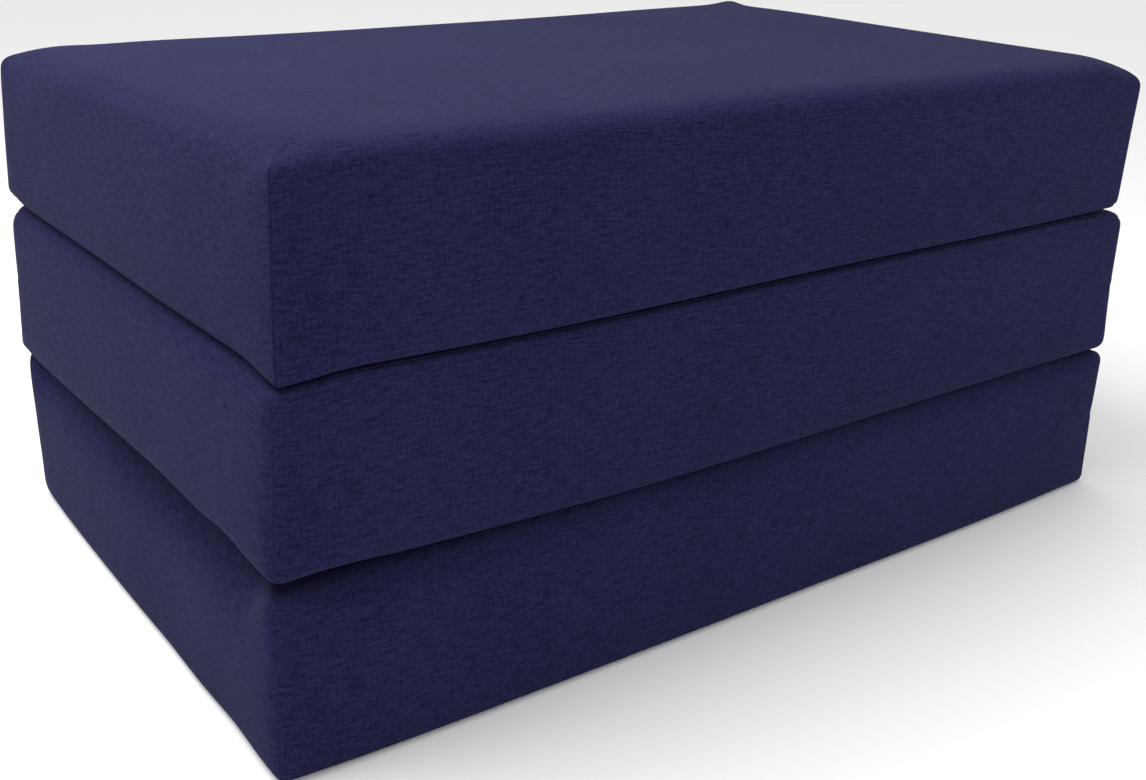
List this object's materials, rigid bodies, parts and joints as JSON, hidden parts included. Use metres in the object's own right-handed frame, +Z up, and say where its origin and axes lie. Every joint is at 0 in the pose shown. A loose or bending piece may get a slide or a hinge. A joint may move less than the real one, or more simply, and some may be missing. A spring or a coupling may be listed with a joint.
{
  "type": "tri-fold futon mattress",
  "caption": "Zigzag-folding foam floor mattress: thick foam sections in one navy cloth cover, joined by cloth fold hinges, with a closing zip at the end of each section.",
  "frame": {"origin": "centre of the folded stack's foot, on the floor", "axes": "+X along the long side, towards the zips; +Y to the back, where the bottom and middle sections are joined; +Z up"},
  "size_m": [0.9965, 0.6394, 0.4734],
  "materials": {
    "cover_cloth": "matte fine plain weave, navy",
    "foam": "open-cell foam, pale cream",
    "zip_tape": "woven tape, navy",
    "zip_coil": "satin nylon, navy",
    "zip_metal": "painted zinc, dark navy",
    "label_cloth": "satin ribbon, off-white"
  },
  "bodies": {
    "bottom_section": {"bottom_foam_core": "foam", "bottom_cover_cap": "cover_cloth", "bottom_base_panel": "cover_cloth", "bottom_zip_strip_upper": "cover_cloth", "bottom_zip_strip_lower": "cover_cloth", "bottom_zip_tape_upper": "zip_tape", "bottom_zip_tape_lower": "zip_tape", "bottom_zip_coils": "zip_coil", "bottom_zip_stops": "zip_coil", "back_hinge_lower_leaf": "cover_cloth", "bottom_care_label": "label_cloth"},
    "bottom_slider": {"bottom_zip_slider": "zip_metal"},
    "bottom_pull": {"bottom_zip_pull": "zip_metal"},
    "middle_section": {"middle_foam_core": "foam", "middle_cover_cap": "cover_cloth", "middle_base_panel": "cover_cloth", "middle_zip_strip_upper": "cover_cloth", "middle_zip_strip_lower": "cover_cloth", "middle_zip_tape_upper": "zip_tape", "middle_zip_tape_lower": "zip_tape", "middle_zip_coils": "zip_coil", "middle_zip_stops": "zip_coil", "back_hinge_upper_leaf": "cover_cloth", "front_hinge_lower_leaf": "cover_cloth"},
    "middle_slider": {"middle_zip_slider": "zip_metal"},
    "middle_pull": {"middle_zip_pull": "zip_metal"},
    "top_section": {"top_foam_core": "foam", "top_cover_cap": "cover_cloth", "top_base_panel": "cover_cloth", "top_zip_strip_upper": "cover_cloth", "top_zip_strip_lower": "cover_cloth", "top_zip_tape_upper": "zip_tape", "top_zip_tape_lower": "zip_tape", "top_zip_coils": "zip_coil", "top_zip_stops": "zip_coil", "front_hinge_upper_leaf": "cover_cloth"},
    "top_slider": {"top_zip_slider": "zip_metal"},
    "top_pull": {"top_zip_pull": "zip_metal"}
  },
  "joints": [
    {"name": "back_fold", "type": "hinge", "parent": "bottom_section", "child": "middle_section", "pos_m": [0, 0.32, 0.1576], "axis": [-1, 0, 0], "range_deg": [0, 180]},
    {"name": "front_fold", "type": "hinge", "parent": "middle_section", "child": "top_section", "pos_m": [0, -0.32, 0.3158], "axis": [1, 0, 0], "range_deg": [0, 180]},
    {"name": "bottom_zip_travel", "type": "slide", "parent": "bottom_section", "child": "bottom_slider", "axis": [0, 1, 0], "range_m": [0, 0.5414]},
    {"name": "bottom_pull_flip", "type": "hinge", "parent": "bottom_slider", "child": "bottom_pull", "pos_m": [0.4991, -0.2707, 0.0785], "axis": [0, 0, -1], "range_deg": [0, 180]},
    {"name": "middle_zip_travel", "type": "slide", "parent": "middle_section", "child": "middle_slider", "axis": [0, -1, 0], "range_m": [0, 0.5414]},
    {"name": "middle_pull_flip", "type": "hinge", "parent": "middle_slider", "child": "middle_pull", "pos_m": [0.4991, 0.2707, 0.2367], "axis": [0, 0, 1], "range_deg": [0, 180]},
    {"name": "top_zip_travel", "type": "slide", "parent": "top_section", "child": "top_slider", "axis": [0, 1, 0], "range_m": [0, 0.5414]},
    {"name": "top_pull_flip", "type": "hinge", "parent": "top_slider", "child": "top_pull", "pos_m": [0.4991, -0.2707, 0.3949], "axis": [0, 0, -1], "range_deg": [0, 180]}
  ]
}
